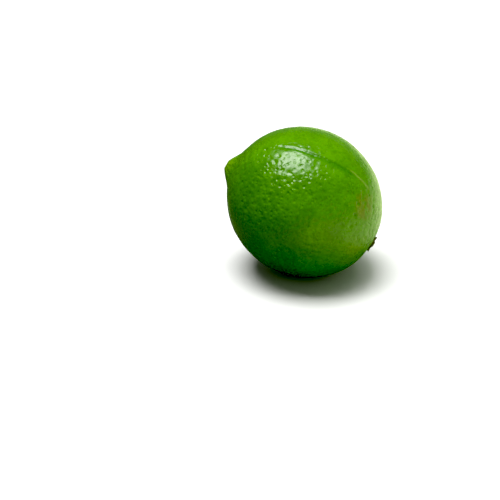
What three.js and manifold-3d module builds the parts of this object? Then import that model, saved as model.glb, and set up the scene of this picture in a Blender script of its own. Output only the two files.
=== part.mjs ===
// A whole Persian lime lying on its side: the fruit, and the dried stem button at its stem end.
// Units are millimetres, +Z is up, and the fruit rests on the plane z = 0.
// The origin is the middle of the footprint of the whole lime, on that plane.

import * as THREE from "three";
import { mergeVertices } from "three/addons/utils/BufferGeometryUtils.js";
import Module from "manifold-3d";

const wasm = await Module();
wasm.setup();

// The fruit, in its own frame: +Y is its axis, towards the stem end.
const EQUATOR_RADIUS = 27;
const STEM_HALF = 29; // from the widest section to the stem end
const STYLE_HALF = 28.6; // from the widest section to the foot of the nipple
const LOBE_HEIGHT = 0.3; // the cross-section is very slightly three-sided
const LOBE_COUNT = 3;
const LOBE_TURN = THREE.MathUtils.degToRad(40);

const NIPPLE_HEIGHT = 3.5; // the small neck at the style end
const NIPPLE_RADIUS = 4.2; // where the neck has fallen to 1/e of its height
const NIPPLE_LEAN = THREE.MathUtils.degToRad(7); // its tilt from the axis, towards the ground

const BASIN_DEPTH = 0.5; // the shallow hollow that holds the stem button
const BASIN_RADIUS = 5.2;

const ROUND_SEGMENTS = 64;
const LENGTH_SEGMENTS = 44;
const END_CROWDING = 0.25; // how much closer the rings of vertices stand at the two ends

// How the fruit lies: its stem end points to the right, a little to the front, and down.
const AXIS_DIP = THREE.MathUtils.degToRad(28);
const AXIS_YAW = THREE.MathUtils.degToRad(12);
const REST_DEPTH = 0.85; // how much its own weight flattens it where it lies

// The stem button: a five-lobed disc, with a low boss in its middle, where the stem broke off.
const BUTTON_RADIUS = 3;
const BUTTON_LOBES = 5;
const BUTTON_LOBE_DEPTH = 0.5;
const BUTTON_THICKNESS = 0.7;
const BUTTON_BEVEL = 0.2;
const BUTTON_OUTLINE_POINTS = 40;
const BOSS_RADIUS = 1.25;
const BOSS_HEIGHT = 0.4; // above the disc
const BOSS_SIDES = 20;
const SEAT_GAP = 0.3; // the clearance between the button and the rind

const rindMaterial = new THREE.MeshStandardMaterial({
  name: "rind",
  color: 0x3f8a12,
  roughness: 0.38,
  metalness: 0,
});
const buttonMaterial = new THREE.MeshStandardMaterial({
  name: "stem_button",
  color: 0x6b6431,
  roughness: 0.85,
  metalness: 0,
});

const AXIS = new THREE.Vector3(0, 1, 0);

// The turn from the fruit's own frame to the way it lies.
function restingTurn() {
  const stemDirection = new THREE.Vector3(
    Math.cos(AXIS_DIP) * Math.cos(AXIS_YAW),
    -Math.cos(AXIS_DIP) * Math.sin(AXIS_YAW),
    -Math.sin(AXIS_DIP),
  );
  return new THREE.Quaternion().setFromUnitVectors(AXIS, stemDirection);
}

const turn = restingTurn();

// The nipple's direction in the fruit's frame: opposite the stem, leaning towards the ground.
function nippleDirection() {
  const down = new THREE.Vector3(0, 0, -1).applyQuaternion(turn.clone().invert());
  const acrossAxis = down.projectOnPlane(AXIS).normalize();
  return AXIS.clone()
    .multiplyScalar(-Math.cos(NIPPLE_LEAN))
    .addScaledVector(acrossAxis, Math.sin(NIPPLE_LEAN));
}

const nippleAxis = nippleDirection();

// A smooth bump of height 1 around a direction, that falls to 1/e at the given distance along the rind.
function bump(direction, centre, radius) {
  const distance = direction.angleTo(centre) * EQUATOR_RADIUS;
  return Math.exp(-((distance / radius) ** 2));
}

// The distance from the middle of the fruit to its surface in a direction.
function rindRadius(direction) {
  const halfLength = direction.y > 0 ? STEM_HALF : STYLE_HALF;
  const along = direction.y / halfLength;
  const acrossSquared = 1 - direction.y ** 2;
  const body = 1 / Math.sqrt(along ** 2 + acrossSquared / EQUATOR_RADIUS ** 2);
  const around = Math.atan2(direction.z, direction.x);
  const lobes = LOBE_HEIGHT * acrossSquared * Math.cos(LOBE_COUNT * around + LOBE_TURN);
  const nipple = NIPPLE_HEIGHT * bump(direction, nippleAxis, NIPPLE_RADIUS);
  const basin = BASIN_DEPTH * bump(direction, AXIS, BASIN_RADIUS);
  return body + lobes + nipple - basin;
}

function toSolid(geometry) {
  const bare = geometry.clone();
  bare.deleteAttribute("normal");
  bare.deleteAttribute("uv");
  const merged = mergeVertices(bare, 1e-4);
  return new wasm.Manifold(
    new wasm.Mesh({
      numProp: 3,
      vertProperties: merged.attributes.position.array,
      triVerts: new Uint32Array(merged.index.array),
    }),
  );
}

function toGeometry(solid) {
  const mesh = solid.getMesh();
  const geometry = new THREE.BufferGeometry();
  geometry.setAttribute("position", new THREE.BufferAttribute(mesh.vertProperties, 3));
  geometry.setIndex(new THREE.BufferAttribute(mesh.triVerts, 1));
  geometry.computeVertexNormals();
  return geometry;
}

// Moves a direction towards the nearer end of the axis, so that the nipple and the basin get more vertices.
function crowdEnds(direction) {
  const fromEnd = direction.angleTo(AXIS);
  const crowded = fromEnd - END_CROWDING * Math.sin(2 * fromEnd);
  const across = direction.clone().projectOnPlane(AXIS).normalize();
  return AXIS.clone().multiplyScalar(Math.cos(crowded)).addScaledVector(across, Math.sin(crowded));
}

// The fruit as it lies, before it is flattened underneath.
function roundFruit() {
  const geometry = new THREE.SphereGeometry(1, ROUND_SEGMENTS, LENGTH_SEGMENTS);
  const position = geometry.attributes.position;
  const point = new THREE.Vector3();
  for (let i = 0; i < position.count; i++) {
    const direction = crowdEnds(point.fromBufferAttribute(position, i).normalize());
    point.copy(direction).multiplyScalar(rindRadius(direction)).applyQuaternion(turn);
    position.setXYZ(i, point.x, point.y, point.z);
  }
  return geometry;
}

// The fruit lies on a small flat spot, cut by the plane of the ground.
function restingFruit() {
  const whole = roundFruit();
  whole.computeBoundingBox();
  const groundHeight = whole.boundingBox.min.z + REST_DEPTH;
  const size = 4 * EQUATOR_RADIUS;
  const ground = new THREE.BoxGeometry(size, size, size);
  ground.translate(0, 0, groundHeight - size / 2);
  return toGeometry(toSolid(whole).subtract(toSolid(ground)));
}

// The five-lobed outline of the button.
function buttonOutline() {
  const points = [];
  for (let i = 0; i < BUTTON_OUTLINE_POINTS; i++) {
    const angle = (2 * Math.PI * i) / BUTTON_OUTLINE_POINTS;
    const radius = BUTTON_RADIUS - BUTTON_LOBE_DEPTH * (0.5 - 0.5 * Math.cos(BUTTON_LOBES * angle));
    points.push(new THREE.Vector2(radius * Math.cos(angle), radius * Math.sin(angle)));
  }
  return new THREE.Shape(points);
}

// The height of the rind along the axis, at a distance from it, at the stem end.
function stemEndHeight(distance) {
  const direction = new THREE.Vector3(distance, STEM_HALF, 0).normalize();
  return rindRadius(direction) * direction.y;
}

// The button stands on +Y, and clears the rind all the way under it.
function stemButton() {
  const disc = new THREE.ExtrudeGeometry(buttonOutline(), {
    depth: BUTTON_THICKNESS - 2 * BUTTON_BEVEL,
    bevelThickness: BUTTON_BEVEL,
    bevelSize: BUTTON_BEVEL,
    bevelOffset: -BUTTON_BEVEL,
    bevelSegments: 2,
  });
  disc.translate(0, 0, BUTTON_BEVEL);
  disc.rotateX(-Math.PI / 2);
  const bossLength = BUTTON_THICKNESS / 2 + BOSS_HEIGHT;
  const boss = new THREE.CylinderGeometry(BOSS_RADIUS * 0.9, BOSS_RADIUS * 1.1, bossLength, BOSS_SIDES);
  boss.translate(0, BUTTON_THICKNESS + BOSS_HEIGHT - bossLength / 2, 0);
  const geometry = toGeometry(toSolid(disc).add(toSolid(boss)));
  const seat = Math.max(stemEndHeight(0), stemEndHeight(BUTTON_RADIUS));
  return geometry.translate(0, seat + SEAT_GAP, 0);
}

const lime = new THREE.Group();

const fruit = new THREE.Mesh(restingFruit(), rindMaterial);
fruit.name = "fruit";
lime.add(fruit);

const button = new THREE.Mesh(stemButton(), buttonMaterial);
button.name = "stem_button";
button.quaternion.copy(turn);
lime.add(button);

// The origin goes to the middle of the footprint, on the ground.
const box = new THREE.Box3().setFromObject(lime, true);
const middle = box.getCenter(new THREE.Vector3());
lime.position.set(-middle.x, -middle.y, -box.min.z);

export default lime;
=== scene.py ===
"""A whole Persian lime on a white surface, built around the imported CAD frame.

The rind is one closed mesh that takes its shape from the CAD fruit. Oil-gland pits, a lengthwise
crease, furrows at the stem end and wrinkles on the nipple are real relief on it. The dried stem
button is a second mesh. Lengths are in metres, in the frame of the CAD model, and angles in radians.
"""

import math

import bpy
import numpy as np
from mathutils import Matrix, Vector, noise
from mathutils.bvhtree import BVHTree
from mathutils.kdtree import KDTree


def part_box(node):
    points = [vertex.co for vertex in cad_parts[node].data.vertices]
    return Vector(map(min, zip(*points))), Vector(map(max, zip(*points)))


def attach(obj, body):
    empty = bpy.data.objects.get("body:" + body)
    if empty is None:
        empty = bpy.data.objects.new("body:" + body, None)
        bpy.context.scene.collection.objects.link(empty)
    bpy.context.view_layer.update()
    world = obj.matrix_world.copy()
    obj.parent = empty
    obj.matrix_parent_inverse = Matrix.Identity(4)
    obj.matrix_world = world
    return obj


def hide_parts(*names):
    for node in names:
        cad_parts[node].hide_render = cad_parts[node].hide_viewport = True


MM = 0.001
SEED = 11

# The rind's mesh: a cube's six faces, each a grid of quads, blown up to the fruit.
GRID = 128
SMOOTHING = 1.0 * MM  # how far the CAD model's facets are smoothed out
UV_MARGIN = 0.01

# Relief all over the rind. Each gland's pit has a strength and a width of its own, between two shares.
GLAND_SPACING = 2.15 * MM
GLAND_DEPTH = 0.21 * MM
GLAND_RADIUS = 0.6 * MM
GLAND_STRENGTHS = (0.2, 1.3)
GLAND_WIDTHS = (0.75, 1.45)
GLANDS_COUNTED = 5  # how many of the nearest glands sink a point
GLANDS_NEAR_STEM = (math.radians(5), math.radians(14))  # no pits at the first angle, all at the second
GLANDS_NEAR_STYLE = (math.radians(6), math.radians(20))
SMOOTH_TOP = math.radians(14)  # the longitude, from the top, within which the rind is smoother
TOP_COARSENESS = 0.45  # how much of the relief is left there
COARSENESS_SIZE = 14 * MM  # of the patches where the rind is coarser or finer
COARSENESS_MEAN = 0.9
COARSENESS_SPREAD = 0.35
DOME_HEIGHT = 0.07 * MM  # of the small rises between the pits
DOME_SIZE = 2.6 * MM
SWELL_HEIGHT = 0.16 * MM  # of the broad unevenness
SWELL_SIZE = 11 * MM

# The crease runs along the fruit, at a longitude counted from the top towards the viewer's side.
CREASE_LONGITUDE = math.radians(24)
CREASE_SLANT = 0.1  # how much its longitude grows with the angle from the stem end
CREASE_WANDER = 0.02  # how far it strays to each side
CREASE_WANDER_SIZE = 9 * MM
CREASE_FROM = math.radians(60)  # angles from the stem end
CREASE_TO = math.radians(134)
CREASE_FADE_IN = 0.3  # how far past its start it has its full depth
CREASE_FADE_OUT = (-0.25, 0.1)  # where it begins to fade and is gone, counted from its end
CREASE_DEPTH = 0.3 * MM
CREASE_WIDTH = 0.7 * MM
LIP_SHARE = 0.35  # the lip's height as a share of the depth
LIP_OFFSET = 1.2 * CREASE_WIDTH  # how far the lip is above the groove
LIP_WIDTH = 0.35 * MM
SHADE_OFFSET = 0.5 * CREASE_WIDTH  # how far below the groove the band of painted shade is
SHADE_WIDTH = 1.15 * MM

# Furrows that run out from the stem button. They are gone at the first angle of each pair, and have
# their full depth at the second, and so do the wrinkles on the nipple.
FURROWS = 9
FURROW_DEPTH = 0.16 * MM
FURROW_OUTWARD = (math.radians(24), math.radians(9))
FURROW_INWARD = (math.radians(1), math.radians(8))
FURROW_WANDER = 2.2  # how far the wave's phase strays to each side
FURROW_WANDER_SIZE = 8 * MM

# The nipple at the style end
STYLE_OUTWARD = (math.radians(17), math.radians(8))
STYLE_INWARD = (math.radians(1.7), math.radians(4))
STYLE_WRINKLES = 13
STYLE_WRINKLE_DEPTH = 0.12 * MM
STYLE_WANDER = 1.6
STYLE_WANDER_SIZE = 3 * MM
STYLE_SCAR_RADIUS = 1.15 * MM
STYLE_SCAR_DEPTH = 0.35 * MM
STYLE_RIM_HEIGHT = 0.12 * MM
STYLE_RIM_RADIUS = 1.3  # as shares of the scar's radius
STYLE_RIM_WIDTH = 0.5

# Where the rind's blemishes lie: angle from the stem end, longitude, and radius
RUSSET = (math.radians(48), math.radians(33), math.radians(15))
PALE_SPOT = (math.radians(34), math.radians(82), math.radians(15))
SCRATCH_LONGITUDE = math.radians(17)
SCRATCH_FROM = math.radians(52)
SCRATCH_TO = math.radians(74)
SCRATCH_FADE = 0.05
SCRATCH_WIDTH = 0.012

# The stem button's mesh
BUTTON_SPOKES = 120
BUTTON_RINGS_TOP = 30
BUTTON_RINGS_SIDE = 8
BUTTON_LOBES = 5
BUTTON_LOBE_SHARE = 0.09  # how far its outline swings in and out, as a share of its radius
BUTTON_SINK = 0.5  # how far its underside lies below the CAD button's, as a share of its thickness
BUTTON_FIBRE = 0.03 * MM  # the height of its fine radial ridges

# Colours, as shares of red, green and blue light
DEEP_GREEN = (0.066, 0.212, 0.001, 1)
BRIGHT_GREEN = (0.09, 0.27, 0.001, 1)
MOTTLE_GREEN = (0.046, 0.165, 0.001, 1)
FLECK_GREEN = (0.12, 0.32, 0.004, 1)
PIT_GREEN = (0.055, 0.155, 0.001, 1)
STEM_END_GREEN = (0.13, 0.3, 0.012, 1)
STYLE_END_GREEN = (0.15, 0.3, 0.016, 1)
SPOT_YELLOW = (0.15, 0.27, 0.01, 1)
# painted shade: the darker band along the crease, below its groove
CREASE_PAINTED_SHADE = (0.03, 0.16, 0.004, 1)
RUSSET_STAIN = (0.155, 0.185, 0.02, 1)
RUSSET_RUBS = (0.23, 0.32, 0.07, 1)
SCRATCH_PALE = (0.26, 0.34, 0.08, 1)
SCAR_DARK = (0.1, 0.075, 0.025, 1)
SCAR_PALE = (0.26, 0.22, 0.08, 1)
CALYX_DARK = (0.15, 0.145, 0.065, 1)
CALYX_PALE = (0.26, 0.25, 0.12, 1)
CALYX_GREEN = (0.13, 0.2, 0.04, 1)
# painted shade for the dip round the button's boss
CALYX_DIP_PAINTED_SHADE = (0.045, 0.045, 0.012, 1)
STEM_SCAR = (0.36, 0.3, 0.17, 1)
# painted shade for the pith, in the middle of the boss's hollow
PITH_PAINTED_SHADE = (0.1, 0.075, 0.03, 1)

# Camera: its angle and framing are the photograph's
CAMERA_AZIMUTH = math.radians(0)
CAMERA_ELEVATION = math.radians(25)
LENS_MM = 85
SENSOR_MM = 36
FRAME_SHARE = 0.297  # the fruit's thickness as a share of the picture's width
FRAMED_RIGHT = 0.106  # how far right of the picture's middle the fruit's middle is
FRAMED_UP = 0.098  # and how far up

# The stage. The bounce floor is dark to the left and near, and pale to the right and far.
FLOOR_HALF = 1.5  # half the side of each floor
FLOOR_WHITE = (0.82, 0.82, 0.82, 1)
FLOOR_ROUGHNESS = 0.9
BOUNCE_DROP = 0.05 * MM  # how far the bounce floor lies below the white one
BOUNCE_DARK = (0.05, 0.08, 0.04, 1)
BOUNCE_PALE = (0.82, 0.95, 0.5, 1)
BOUNCE_LEFT = -80 * MM
BOUNCE_RIGHT = 65 * MM
BOUNCE_NEAR = 26 * MM
BOUNCE_FAR = 64 * MM
WORLD_WHITE = (1, 1, 1, 1)
WORLD_SEEN = 1.2  # the brightness of the world for the camera
FILL_TINT = (0.94, 1, 0.84, 1)
WORLD_FILL_LEFT = 0.1  # and for the lime, from the left and from the right
WORLD_FILL_RIGHT = 0.39
BLACK_LEVEL = 0.034


# ---------------------------------------------------------------- the frame's measures


def node_geometry(node):
    """The vertices and triangles of a CAD node, as arrays."""
    mesh = node.data
    mesh.calc_loop_triangles()
    points = np.array([v.co for v in mesh.vertices])
    triangles = np.array([t.vertices for t in mesh.loop_triangles])
    return points, triangles


def centroid(points, triangles):
    """The middle of a closed solid's volume."""
    a, b, c = (points[triangles[:, k]] for k in range(3))
    volumes = np.einsum("ij,ij->i", a, np.cross(b, c))
    return ((a + b + c) * volumes[:, None]).sum(0) / (4 * volumes.sum())


class Fruit:
    """Where the fruit and its two ends are, worked out from the CAD nodes."""

    def __init__(self, fruit_node, button_node):
        self.points, self.triangles = node_geometry(fruit_node)
        self.button_points, _ = node_geometry(button_node)
        self.centre = centroid(self.points, self.triangles)
        button_middle = (self.button_points.max(0) + self.button_points.min(0)) / 2
        self.stem = unit(button_middle - self.centre)
        tip = self.points[np.argmin((self.points - self.centre) @ self.stem)]
        self.style = unit(tip - self.centre)
        self.up = unit(np.array([0.0, 0.0, 1.0]) - self.stem * self.stem[2])
        self.side = np.cross(self.stem, self.up)

    def angles(self, directions):
        """The angle from the stem end, and the longitude counted from the top, of each direction."""
        longitude = np.arctan2(directions @ self.side, directions @ self.up)
        return angle_between(directions, self.stem), longitude

    def direction(self, polar, longitude):
        """The direction at an angle from the stem end and a longitude."""
        across = math.cos(longitude) * self.up + math.sin(longitude) * self.side
        return math.cos(polar) * self.stem + math.sin(polar) * across


def unit(vector):
    return vector / np.linalg.norm(vector, axis=-1, keepdims=True)


def smoothstep(low, high, value):
    """0 at low, 1 at high, and a smooth step between them."""
    share = np.clip((value - low) / (high - low), 0, 1)
    return share * share * (3 - 2 * share)


def angle_between(directions, axis):
    return np.arccos(np.clip(directions @ axis, -1, 1))


def wrapped(angle):
    """An angle brought between -pi and pi."""
    return (angle + np.pi) % (2 * np.pi) - np.pi


# ---------------------------------------------------------------- the rind's mesh

CUBE_FACES = [  # the normal of each face, and the two directions of its grid
    ((1, 0, 0), (0, 1, 0), (0, 0, 1)),
    ((-1, 0, 0), (0, -1, 0), (0, 0, 1)),
    ((0, 1, 0), (-1, 0, 0), (0, 0, 1)),
    ((0, -1, 0), (1, 0, 0), (0, 0, 1)),
    ((0, 0, 1), (1, 0, 0), (0, 1, 0)),
    ((0, 0, -1), (-1, 0, 0), (0, 1, 0)),
]


def cube_sphere(grid):
    """Directions all round, quads between them, and a map with one of 3 by 2 cells for each face."""
    steps = np.linspace(-1, 1, grid + 1)
    spread = np.tan(steps * math.pi / 4)
    across, along = np.meshgrid(spread, spread, indexing="ij")
    index = np.arange((grid + 1) ** 2).reshape(grid + 1, grid + 1)
    corners = [index[:-1, :-1], index[1:, :-1], index[1:, 1:], index[:-1, 1:]]
    quads = np.stack([c.ravel() for c in corners], axis=1)
    share = UV_MARGIN + (1 - 2 * UV_MARGIN) * (steps + 1) / 2
    u, v = np.meshgrid(share, share, indexing="ij")
    directions, faces, places = [], [], []
    for cell, (normal, first, second) in enumerate(CUBE_FACES):
        grid_points = (
            np.array(normal)[None, None, :]
            + across[..., None] * np.array(first)
            + along[..., None] * np.array(second)
        )
        directions.append(grid_points.reshape(-1, 3))
        faces.append(quads + cell * index.size)
        cell_u = (cell % 3 + u.ravel()) / 3
        cell_v = (cell // 3 + v.ravel()) / 2
        places.append(np.stack([cell_u, cell_v], axis=1))
    directions = unit(np.concatenate(directions))
    faces = np.concatenate(faces)
    corner_places = np.concatenate(places)[faces.ravel()]
    rounded = directions.round(6)
    _, first_of, merged = np.unique(rounded, axis=0, return_index=True, return_inverse=True)
    return directions[first_of], merged.ravel()[faces], corner_places


def radii_of(fruit, directions):
    """How far the CAD fruit's surface is from its centre, in each direction."""
    tree = BVHTree.FromPolygons(fruit.points.tolist(), fruit.triangles.tolist())
    origin = Vector(fruit.centre)
    return np.array([tree.ray_cast(origin, Vector(d))[3] for d in directions])


def smoothed(values, faces, times):
    """Each value moved halfway to the mean of its neighbours, so many times over."""
    edges = np.concatenate([faces[:, [k, (k + 1) % 4]] for k in range(4)])
    counts = np.bincount(edges[:, 0], minlength=len(values))
    for _ in range(times):
        sums = np.bincount(edges[:, 0], values[edges[:, 1]], len(values))
        values = (values + sums / counts) / 2
    return values


def noise_field(points, size, offset):
    """Smooth noise between about -1 and 1, of the given size. The offset gives each field its own."""
    shift = Vector((offset, -offset, 2 * offset))
    return np.array([noise.noise(Vector(p) / size + shift) for p in points])


def scattered(points, spacing, rng):
    """A random choice of points that stand at least the spacing apart."""
    tree = KDTree(len(points))
    for i, point in enumerate(points):
        tree.insert(point, i)
    tree.balance()
    free = np.ones(len(points), bool)
    chosen = []
    for i in rng.permutation(len(points)):
        if free[i]:
            chosen.append(i)
            for _, neighbour, _ in tree.find_range(points[i], spacing):
                free[neighbour] = False
    return points[chosen]


def gland_field(points, rng):
    """How deep in the oil glands' pits each point is, from 0 to about 1."""
    spots = scattered(points, GLAND_SPACING, rng)
    strengths = rng.uniform(*GLAND_STRENGTHS, len(spots))
    widths = rng.uniform(*GLAND_WIDTHS, len(spots)) * GLAND_RADIUS
    tree = KDTree(len(spots))
    for i, spot in enumerate(spots):
        tree.insert(spot, i)
    tree.balance()
    depth = np.zeros(len(points))
    for i, point in enumerate(points):
        for _, k, distance in tree.find_n(point, GLANDS_COUNTED):
            depth[i] += strengths[k] * math.exp(-((distance / widths[k]) ** 2))
    return depth


def crease_field(fruit, polar, longitude, points):
    """The crease's relief, and a band of painted shade below its groove.

    The relief is a groove, with a raised lip on its upper side.
    """
    wander = CREASE_WANDER * noise_field(points, CREASE_WANDER_SIZE, 3.0)
    radius = np.linalg.norm(points - fruit.centre, axis=1)
    line = CREASE_LONGITUDE + CREASE_SLANT * (polar - math.pi / 2) + wander
    offset = wrapped(longitude - line) * np.sin(polar) * radius
    fade_from, fade_to = CREASE_FADE_OUT
    ends = smoothstep(CREASE_FROM, CREASE_FROM + CREASE_FADE_IN, polar)
    ends = ends * (1 - smoothstep(CREASE_TO + fade_from, CREASE_TO + fade_to, polar))
    groove = np.exp(-((offset / CREASE_WIDTH) ** 2))
    lip = np.exp(-(((offset + LIP_OFFSET) / LIP_WIDTH) ** 2))
    # the band of painted shade below the groove, which only darkens the colour
    shade = np.exp(-(((offset - SHADE_OFFSET) / SHADE_WIDTH) ** 2))
    return ends * (LIP_SHARE * lip - groove), ends * shade


def rind_relief(fruit, directions, points, rng):
    """How far each point is raised, and the fields that the rind's material reads."""
    polar, longitude = fruit.angles(directions)
    from_style = angle_between(directions, fruit.style)
    glands = gland_field(points, rng)
    ends = smoothstep(*GLANDS_NEAR_STYLE, from_style) * smoothstep(*GLANDS_NEAR_STEM, polar)
    flank = smoothstep(SMOOTH_TOP, 2 * SMOOTH_TOP, np.abs(longitude))
    coarseness = TOP_COARSENESS + (1 - TOP_COARSENESS) * flank
    patchiness = COARSENESS_SPREAD * noise_field(points, COARSENESS_SIZE, 7.0)
    coarseness = coarseness * (COARSENESS_MEAN + patchiness)
    height = -GLAND_DEPTH * glands * ends * coarseness
    height += DOME_HEIGHT * noise_field(points, DOME_SIZE, 5.0) * ends * coarseness
    height += SWELL_HEIGHT * noise_field(points, SWELL_SIZE, 1.0)
    crease, crease_painted_shade = crease_field(fruit, polar, longitude, points)
    height += CREASE_DEPTH * crease
    height -= FURROW_DEPTH * furrow_field(polar, longitude, points)
    height += style_relief(fruit, directions, points, from_style)
    fields = {
        "gland": glands * ends,
        "coarseness": coarseness,
        "crease": crease_painted_shade,
        "russet": patch(fruit, directions, RUSSET),
        "pale_spot": patch(fruit, directions, PALE_SPOT),
        "scratch": scratch(polar, longitude),
        "from_stem": polar,
        "from_style": from_style,
    }
    return height, fields


def furrow_field(polar, longitude, points):
    """Furrows that run out from the stem end, and fade under the button."""
    wander = FURROW_WANDER * noise_field(points, FURROW_WANDER_SIZE, 9.0)
    wave = 0.5 + 0.5 * np.cos(FURROWS * longitude + wander)
    return wave**3 * smoothstep(*FURROW_OUTWARD, polar) * smoothstep(*FURROW_INWARD, polar)


def style_relief(fruit, directions, points, from_style):
    """Wrinkles that run down the nipple, and the dry hollow scar at its tip."""
    first = unit(np.cross(fruit.style, fruit.up))
    second = np.cross(fruit.style, first)
    around = np.arctan2(directions @ second, directions @ first)
    wander = STYLE_WANDER * noise_field(points, STYLE_WANDER_SIZE, 13.0)
    wave = np.cos(STYLE_WRINKLES * around + wander)
    share = smoothstep(*STYLE_OUTWARD, from_style) * smoothstep(*STYLE_INWARD, from_style)
    away = from_style * np.linalg.norm(points - fruit.centre, axis=1) / STYLE_SCAR_RADIUS
    scar = np.exp(-(away**4))
    rim = np.exp(-(((away - STYLE_RIM_RADIUS) / STYLE_RIM_WIDTH) ** 2))
    return STYLE_WRINKLE_DEPTH * wave * share - STYLE_SCAR_DEPTH * scar + STYLE_RIM_HEIGHT * rim


def patch(fruit, directions, place):
    """1 in the middle of a blemish, falling to about a third at its radius."""
    polar, longitude, radius = place
    away = angle_between(directions, fruit.direction(polar, longitude))
    return np.exp(-((away / radius) ** 2))


def scratch(polar, longitude):
    """A short healed scratch along the fruit, beside the crease."""
    bend = SCRATCH_LONGITUDE + CREASE_SLANT * (polar - SCRATCH_FROM)
    across = wrapped(longitude - bend) * np.sin(polar)
    ends = smoothstep(SCRATCH_FROM - SCRATCH_FADE, SCRATCH_FROM + SCRATCH_FADE, polar)
    ends = ends * (1 - smoothstep(SCRATCH_TO - SCRATCH_FADE, SCRATCH_TO + SCRATCH_FADE, polar))
    return ends * np.exp(-((across / SCRATCH_WIDTH) ** 2))


def mesh_object(name, points, faces, material):
    """An object from arrays, with smooth faces."""
    mesh = bpy.data.meshes.new(name)
    mesh.from_pydata(points.tolist(), [], [list(f) for f in faces])
    mesh.materials.append(material)
    mesh.polygons.foreach_set("use_smooth", [True] * len(mesh.polygons))
    mesh.update()
    made = bpy.data.objects.new(name, mesh)
    bpy.context.scene.collection.objects.link(made)
    return made


def add_field(piece, name, values):
    """Stores a number for each of a mesh's points, for its material to read."""
    attribute = piece.data.attributes.new(name, "FLOAT", "POINT")
    attribute.data.foreach_set("value", values.astype(np.float32))


def make_rind(fruit, rng):
    """The fruit's skin, as the CAD solid has it, with its relief and the fields for its material."""
    directions, faces, places = cube_sphere(GRID)
    mean_radius = np.linalg.norm(fruit.points - fruit.centre, axis=1).mean()
    quad_side = np.pi * mean_radius / (2 * GRID)
    times_smoothed = round(4 * (SMOOTHING / quad_side) ** 2)
    radii = smoothed(radii_of(fruit, directions), faces, times_smoothed)
    points = fruit.centre + directions * radii[:, None]
    height, fields = rind_relief(fruit, directions, points, rng)
    points = points + directions * height[:, None]
    points[:, 2] = np.maximum(points[:, 2], 0)
    rind = mesh_object("rind", points, faces.tolist(), rind_material())
    for name, values in fields.items():
        add_field(rind, name, values)
    uv_map = rind.data.uv_layers.new(name="OFBake")
    uv_map.data.foreach_set("uv", places.astype(np.float32).ravel())
    return rind


# ---------------------------------------------------------------- the stem button


def make_button(fruit, rng):
    """A dried calyx: five blunt lobes round a low boss, with the scar of the stem in the boss."""
    offsets = fruit.button_points - fruit.centre
    along = offsets @ fruit.stem
    seat = along.min()
    thickness = along.max() - seat
    outer = np.linalg.norm(offsets - along[:, None] * fruit.stem, axis=1).max()
    spokes = np.arange(BUTTON_SPOKES) * 2 * np.pi / BUTTON_SPOKES
    ragged = 1 + 0.03 * np.sin(7 * spokes + 1) + 0.02 * np.sin(13 * spokes + 4)
    lobes = BUTTON_LOBE_SHARE * (np.cos(BUTTON_LOBES * spokes) - 1)
    outline = outer * (1 + lobes) * ragged
    across = np.cos(spokes)[:, None] * fruit.up + np.sin(spokes)[:, None] * fruit.side
    middle = fruit.centre + fruit.stem * seat
    fibre = BUTTON_FIBRE * rng.uniform(-1, 1, BUTTON_SPOKES)
    rings = button_rings(spokes, thickness)
    points = [middle + fruit.stem * button_top(0, spokes[:1], thickness)[0]]
    shares = [0.0]
    for share, height in rings:
        raised = height + fibre * min(1, share)
        points.extend(middle + share * outline[:, None] * across + raised[:, None] * fruit.stem)
        shares.extend([share] * BUTTON_SPOKES)
    points.append(middle - fruit.stem * BUTTON_SINK * thickness)
    shares.append(0.0)
    faces = ring_faces(len(rings), BUTTON_SPOKES)
    button = mesh_object("stem_button_calyx", np.array(points), faces, button_material())
    add_field(button, "share_out", np.array(shares))
    return button


def button_rings(spokes, thickness):
    """The button's rings of points, as a share of its outline and heights above its seat.

    They run out over its upper side, round its edge, and in again under it.
    """
    rings = []
    for share in np.linspace(0, 1, BUTTON_RINGS_TOP + 1)[1:]:
        rings.append((share, button_top(share, spokes, thickness)))
    edge = button_top(1, spokes, thickness)
    for step in range(1, BUTTON_RINGS_SIDE + 1):
        turn = math.pi * step / BUTTON_RINGS_SIDE
        lowered = (1 - math.cos(turn)) / 2
        drop = (edge + 0.45 * thickness) * lowered
        rings.append((1 + 0.02 * math.sin(turn) - 0.1 * lowered, edge - drop))
    rings.append((0.4, np.full(BUTTON_SPOKES, -BUTTON_SINK * thickness)))
    return rings


def button_top(share, spokes, thickness):
    """The height of the button's upper side: a hollow boss, a dip round it, and lobes that curl up.

    Its heights are shares of the button's thickness, and its radii are shares of its outline.
    """
    boss = mound(share, 0.62, 0.42, 6)
    hollow = mound(share, 0.3, 0.26, 4)
    pith = mound(share, 0.14, 0.09, 2)
    lobes = 0.5 + 0.5 * np.cos(BUTTON_LOBES * spokes)
    curl = 0.22 * share**4 * lobes - 0.05 * share**2
    veins = 0.035 * np.cos(BUTTON_LOBES * 3 * spokes) * smoothstep(0.4, 0.7, share)
    return thickness * (0.38 + boss - hollow + pith + curl + veins)


def mound(share, height, radius, steepness):
    """A round rise in the middle, that has fallen to a third at its radius."""
    return height * math.exp(-((share / radius) ** steepness))


def ring_faces(rings, spokes):
    """Faces between a first point, rings of points and a last point."""
    faces = [(0, 1 + k, 1 + (k + 1) % spokes) for k in range(spokes)]
    for ring in range(rings - 1):
        inner = 1 + ring * spokes
        outer = inner + spokes
        for k in range(spokes):
            following = (k + 1) % spokes
            faces.append((inner + k, outer + k, outer + following, inner + following))
    last_ring = 1 + (rings - 1) * spokes
    last = last_ring + spokes
    faces.extend((last, last_ring + (k + 1) % spokes, last_ring + k) for k in range(spokes))
    return faces


# ---------------------------------------------------------------- materials


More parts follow.
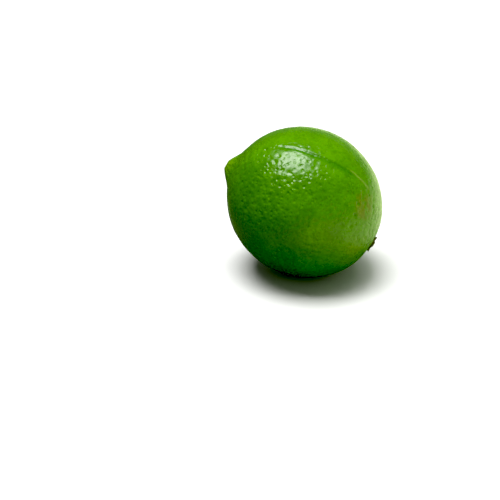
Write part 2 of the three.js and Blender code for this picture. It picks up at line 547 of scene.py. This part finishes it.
class Nodes:
    """Short ways to build a material's node tree."""

    def __init__(self, name):
        self.material = bpy.data.materials.new(name)
        self.material.use_nodes = True
        self.tree = self.material.node_tree
        self.shader = self.tree.nodes["Principled BSDF"]
        self.place = self.make("ShaderNodeTexCoord").outputs["Object"]

    def make(self, kind, **settings):
        node = self.tree.nodes.new(kind)
        for name, value in settings.items():
            setattr(node, name, value)
        return node

    def put(self, socket, value):
        """Links an output, or sets a number or colour, on an input."""
        if isinstance(value, bpy.types.NodeSocket):
            self.tree.links.new(value, socket)
        else:
            socket.default_value = value

    def set_shader(self, values):
        """Links or sets the shader's inputs, by their names."""
        for name, value in values.items():
            self.put(self.shader.inputs[name], value)

    def field(self, name):
        """A number that the mesh has at each point."""
        return self.make("ShaderNodeAttribute", attribute_name=name).outputs["Fac"]

    def maths(self, operation, first, second=0.0):
        node = self.make("ShaderNodeMath", operation=operation)
        self.put(node.inputs[0], first)
        self.put(node.inputs[1], second)
        return node.outputs[0]

    def times(self, first, second):
        return self.maths("MULTIPLY", first, second)

    def between(self, value, low, high, to_low=0.0, to_high=1.0):
        """A smooth step from one number to another, as the value goes from low to high."""
        node = self.make("ShaderNodeMapRange", interpolation_type="SMOOTHSTEP")
        for socket, given in zip(node.inputs, (value, low, high, to_low, to_high)):
            self.put(socket, given)
        return node.outputs["Result"]

    def noise(self, size, detail, roughness=0.55, distortion=0.0):
        node = self.make("ShaderNodeTexNoise")
        self.put(node.inputs["Vector"], self.place)
        self.put(node.inputs["Scale"], 1 / size)
        self.put(node.inputs["Detail"], detail)
        self.put(node.inputs["Roughness"], roughness)
        self.put(node.inputs["Distortion"], distortion)
        return node.outputs["Fac"]

    def cells(self, size):
        """The distance to the nearest of many scattered points, in their spacing."""
        node = self.make("ShaderNodeTexVoronoi")
        self.put(node.inputs["Vector"], self.place)
        self.put(node.inputs["Scale"], 1 / size)
        return node.outputs["Distance"]

    def mix(self, share, first, second):
        node = self.make("ShaderNodeMix", data_type="RGBA")
        self.put(node.inputs["Factor"], share)
        self.put(node.inputs["A"], first)
        self.put(node.inputs["B"], second)
        return node.outputs["Result"]

    def bump(self, height, strength, distance, before=None):
        node = self.make("ShaderNodeBump")
        self.put(node.inputs["Height"], height)
        self.put(node.inputs["Strength"], strength)
        self.put(node.inputs["Distance"], distance)
        if before is not None:
            self.put(node.inputs["Normal"], before)
        return node.outputs["Normal"]


def rind_material():
    """Waxy green skin, with pits and pores finer than the mesh's own relief."""
    nodes = Nodes("rind_green")
    stain, rubs = russet_shares(nodes)
    scar = nodes.between(nodes.field("from_style"), 0.05, 0.028)
    russet = nodes.maths("MAXIMUM", stain, rubs)
    gloss = nodes.between(nodes.noise(3 * MM, 3), 0.3, 0.7, 0.25, 0.33)
    dry = nodes.maths("MAXIMUM", nodes.times(russet, 0.35), nodes.times(scar, 0.45))
    nodes.set_shader({
        "Base Color": rind_colour(nodes, stain, rubs, scar),
        "Roughness": nodes.maths("ADD", gloss, dry),
        "Normal": rind_bumps(nodes, russet),
        "IOR": 1.48,
        "Coat Weight": 0.15,
        "Coat Roughness": 0.15,
        "Subsurface Weight": 0.12,
        "Subsurface Radius": (0.5, 1.0, 0.2),
        "Subsurface Scale": 1.2 * MM,
    })
    return nodes.material


def rind_colour(nodes, stain, rubs, scar):
    """Cloudy green with darker pits, yellower at both ends, painted shade along the crease, and the
    blemishes over it.
    """
    cloudy = nodes.between(nodes.noise(9 * MM, 4), 0.35, 0.68)
    tone = nodes.mix(cloudy, DEEP_GREEN, BRIGHT_GREEN)
    mottled = nodes.between(nodes.noise(2.2 * MM, 5, 0.62), 0.42, 0.7)
    tone = nodes.mix(nodes.times(mottled, 0.55), tone, MOTTLE_GREEN)
    flecked = nodes.between(nodes.cells(0.9 * MM), 0.34, 0.08)
    tone = nodes.mix(nodes.times(flecked, 0.35), tone, FLECK_GREEN)
    pitted = nodes.between(nodes.field("gland"), 0.3, 1.1, 0.0, 0.15)
    tone = nodes.mix(pitted, tone, PIT_GREEN)
    stem_end = nodes.between(nodes.field("from_stem"), math.radians(26), math.radians(6), 0.0, 0.6)
    tone = nodes.mix(stem_end, tone, STEM_END_GREEN)
    style_end = nodes.between(nodes.field("from_style"), math.radians(15), math.radians(4), 0.0, 0.7)
    tone = nodes.mix(style_end, tone, STYLE_END_GREEN)
    uneven = nodes.between(nodes.noise(5 * MM, 3), 0.3, 0.7, 0.2, 0.8)
    tone = nodes.mix(nodes.times(nodes.field("pale_spot"), uneven), tone, SPOT_YELLOW)
    # painted shade in a band along the crease, below its groove
    tone = nodes.mix(nodes.times(nodes.field("crease"), 0.65), tone, CREASE_PAINTED_SHADE)
    tone = nodes.mix(stain, tone, RUSSET_STAIN)
    tone = nodes.mix(rubs, tone, RUSSET_RUBS)
    tone = nodes.mix(nodes.times(nodes.field("scratch"), 0.6), tone, SCRATCH_PALE)
    scar_tone = nodes.mix(nodes.noise(0.5 * MM, 4), SCAR_DARK, SCAR_PALE)
    return nodes.mix(scar, tone, scar_tone)


def rind_bumps(nodes, russet):
    """Dimples and pores, which are shallower where the rind is smoother, and a fine grain."""
    coarseness = nodes.field("coarseness")
    dimples = nodes.times(nodes.between(nodes.cells(1.6 * MM), 0.0, 0.5), coarseness)
    dimpled = nodes.bump(dimples, 0.9, 0.17 * MM)
    pores = nodes.times(nodes.noise(0.9 * MM, 2), coarseness)
    porous = nodes.bump(pores, 0.5, 0.11 * MM, dimpled)
    fine = nodes.bump(nodes.noise(0.35 * MM, 4), 0.25, 0.05 * MM, porous)
    return nodes.bump(russet, 0.3, 0.08 * MM, fine)


def russet_shares(nodes):
    """A brown stain, and pale healed rubs over it, that are both gone outside the russet patch."""
    edge = nodes.maths("ADD", nodes.field("russet"), nodes.noise(5 * MM, 4, 0.7))
    inside = nodes.between(edge, 0.85, 1.3)
    stain = nodes.between(nodes.noise(2.4 * MM, 5, 0.65), 0.38, 0.6, 0.0, 0.8)
    winding = nodes.maths("SUBTRACT", nodes.noise(3.2 * MM, 2, 0.5, 0.8), 0.5)
    lines = nodes.between(nodes.maths("ABSOLUTE", winding), 0.028, 0.004)
    breaks = nodes.between(nodes.noise(1.5 * MM, 3), 0.4, 0.58, 0.0, 0.7)
    return nodes.times(stain, inside), nodes.times(nodes.times(lines, breaks), inside)


def button_material():
    """Dry calyx, a little green in places, with painted shade in the dip round the pale scar and on
    its pith.
    """
    nodes = Nodes("stem_button_dry")
    dried = nodes.between(nodes.noise(0.7 * MM, 5, 0.65), 0.35, 0.65)
    tone = nodes.mix(dried, CALYX_DARK, CALYX_PALE)
    still_green = nodes.between(nodes.noise(1.6 * MM, 3), 0.5, 0.75, 0.0, 0.6)
    tone = nodes.mix(still_green, tone, CALYX_GREEN)
    share_out = nodes.field("share_out")
    # painted shade in the dip between the boss and the curled lobes
    dip_inside = nodes.between(share_out, 0.62, 0.46)
    dip = nodes.times(nodes.between(share_out, 0.3, 0.42), dip_inside)
    tone = nodes.mix(nodes.times(dip, 0.75), tone, CALYX_DIP_PAINTED_SHADE)
    tone = nodes.mix(nodes.between(share_out, 0.3, 0.2), tone, STEM_SCAR)
    # painted shade on the pith, in the hollow's middle
    tone = nodes.mix(nodes.between(share_out, 0.12, 0.05), tone, PITH_PAINTED_SHADE)
    nodes.set_shader({
        "Base Color": tone,
        "Roughness": 0.85,
        "IOR": 1.4,
        "Normal": nodes.bump(nodes.noise(0.25 * MM, 5, 0.7), 0.6, 0.08 * MM),
    })
    return nodes.material


def floor_material():
    nodes = Nodes("floor_white")
    nodes.set_shader({"Base Color": FLOOR_WHITE, "Roughness": FLOOR_ROUGHNESS})
    return nodes.material


def bounce_material():
    """Dark on the left and close to the lime, as among other fruit, and pale on the right."""
    nodes = Nodes("floor_shaded")
    split = nodes.make("ShaderNodeSeparateXYZ")
    nodes.put(split.inputs[0], nodes.place)
    rightward = nodes.between(split.outputs["X"], BOUNCE_LEFT, BOUNCE_RIGHT)
    distance = nodes.make("ShaderNodeVectorMath", operation="LENGTH")
    nodes.put(distance.inputs[0], nodes.place)
    away = nodes.between(distance.outputs["Value"], BOUNCE_NEAR, BOUNCE_FAR)
    tone = nodes.mix(nodes.times(rightward, away), BOUNCE_DARK, BOUNCE_PALE)
    nodes.set_shader({"Base Color": tone, "Roughness": FLOOR_ROUGHNESS})
    return nodes.material


# ---------------------------------------------------------------- floor, light and camera


def make_plane(name, height, material):
    """A level square, which belongs to the stage."""
    corners = [(-1, -1), (1, -1), (1, 1), (-1, 1)]
    points = np.array([(x * FLOOR_HALF, y * FLOOR_HALF, height) for x, y in corners])
    plane = mesh_object(name, points, [(0, 1, 2, 3)], material)
    return plane


def make_floor():
    """The white floor that the camera sees, and a shaded one that lights the lime from below."""
    floor = make_plane("floor", 0, floor_material())
    floor.visible_diffuse = False
    floor.visible_glossy = False
    floor.visible_shadow = False
    bounce = make_plane("floor_bounce", -BOUNCE_DROP, bounce_material())
    bounce.visible_camera = False
    bounce.visible_shadow = False


def make_light(name, target, direction, distance, size_x, size_y, radiance):
    """A softbox that faces the target, and stands the distance away from it in the direction."""
    data = bpy.data.lights.new(name, "AREA")
    data.shape = "RECTANGLE"
    data.size = size_x
    data.size_y = size_y
    data.energy = radiance * math.pi * size_x * size_y
    light = bpy.data.objects.new(name, data)
    towards = Vector(direction).normalized()
    across = (Vector((1, 0, 0)) - towards * towards.x).normalized()
    turn = Matrix((across, towards.cross(across), towards)).transposed()
    light.matrix_world = Matrix.Translation(Vector(target) + towards * distance) @ turn.to_4x4()
    bpy.context.scene.collection.objects.link(light)
    return light


def make_lights(fruit):
    """A softbox for the highlight, and a wider one that the rind doesn't mirror."""
    make_light(
        "key_softbox",
        fruit.centre,
        direction=(-0.17, 0.02, 0.97),
        distance=6.0,
        size_x=4.0,
        size_y=3.2,
        radiance=11.0,
    )
    overhead = make_light(
        "overhead_soft",
        fruit.centre,
        direction=(0.0, 0.1, 1.0),
        distance=6.0,
        size_x=6.0,
        size_y=5.0,
        radiance=1.9,
    )
    overhead.visible_glossy = False


def make_world():
    """White where the camera sees it, and for the lime a dim fill that is darker on the left."""
    world = bpy.data.worlds.new("studio")
    world.use_nodes = True
    tree = world.node_tree
    seen = tree.nodes.new("ShaderNodeBackground")
    seen.inputs["Color"].default_value = WORLD_WHITE
    seen.inputs["Strength"].default_value = WORLD_SEEN
    fill = tree.nodes["Background"]
    fill.inputs["Color"].default_value = FILL_TINT
    place = tree.nodes.new("ShaderNodeTexCoord")
    split = tree.nodes.new("ShaderNodeSeparateXYZ")
    strength = tree.nodes.new("ShaderNodeMapRange")
    strength.inputs["From Min"].default_value = -1
    strength.inputs["To Min"].default_value = WORLD_FILL_LEFT
    strength.inputs["To Max"].default_value = WORLD_FILL_RIGHT
    tree.links.new(place.outputs["Generated"], split.inputs[0])
    tree.links.new(split.outputs["X"], strength.inputs["Value"])
    tree.links.new(strength.outputs["Result"], fill.inputs["Strength"])
    ray = tree.nodes.new("ShaderNodeLightPath")
    mix = tree.nodes.new("ShaderNodeMixShader")
    tree.links.new(ray.outputs["Is Camera Ray"], mix.inputs["Fac"])
    tree.links.new(fill.outputs[0], mix.inputs[1])
    tree.links.new(seen.outputs[0], mix.inputs[2])
    tree.links.new(mix.outputs[0], tree.nodes["World Output"].inputs["Surface"])
    bpy.context.scene.world = world


def make_camera(fruit):
    """The camera stands where the fruit fills its share of the picture, and aims past it as framed."""
    data = bpy.data.cameras.new("camera")
    data.lens = LENS_MM
    data.sensor_width = SENSOR_MM
    camera = bpy.data.objects.new("camera", data)
    lowest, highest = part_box("fruit")
    thickness = highest.y - lowest.y
    widths_away = LENS_MM / SENSOR_MM  # the distance at which a thing fills the picture, in its widths
    distance = thickness * widths_away / FRAME_SHARE
    back = Vector(
        (
            math.sin(CAMERA_AZIMUTH) * math.cos(CAMERA_ELEVATION),
            -math.cos(CAMERA_AZIMUTH) * math.cos(CAMERA_ELEVATION),
            math.sin(CAMERA_ELEVATION),
        )
    )
    right = Vector((0, 0, 1)).cross(back).normalized()
    up = back.cross(right)
    centre = Vector(fruit.centre)
    aim = centre - (right * FRAMED_RIGHT + up * FRAMED_UP) * distance / widths_away
    camera.location = centre + back * distance
    camera.rotation_mode = "QUATERNION"
    camera.rotation_quaternion = (aim - camera.location).to_track_quat("-Z", "Y")
    bpy.context.scene.collection.objects.link(camera)
    bpy.context.scene.camera = camera


def set_colours():
    """Plain sRGB with a raised black level, which deepens the greens as a contrasty print does."""
    settings = bpy.context.scene.view_settings
    settings.view_transform = "Standard"
    settings.use_curve_mapping = True
    settings.curve_mapping.black_level = (BLACK_LEVEL,) * 3
    settings.curve_mapping.update()


# ---------------------------------------------------------------- the scene

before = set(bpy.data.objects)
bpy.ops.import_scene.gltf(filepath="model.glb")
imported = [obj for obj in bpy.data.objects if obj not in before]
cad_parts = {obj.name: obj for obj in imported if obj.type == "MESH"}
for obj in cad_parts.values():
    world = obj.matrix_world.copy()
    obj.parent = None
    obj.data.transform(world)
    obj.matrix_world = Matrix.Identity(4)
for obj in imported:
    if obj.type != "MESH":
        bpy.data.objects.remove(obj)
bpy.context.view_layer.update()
random_numbers = np.random.default_rng(SEED)
the_fruit = Fruit(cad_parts["fruit"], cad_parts["stem_button"])

rind = make_rind(the_fruit, random_numbers)
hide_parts("fruit")
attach(rind, "root")

button = make_button(the_fruit, random_numbers)
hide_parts("stem_button")
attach(button, "root")

make_floor()
make_lights(the_fruit)
make_world()
make_camera(the_fruit)
set_colours()
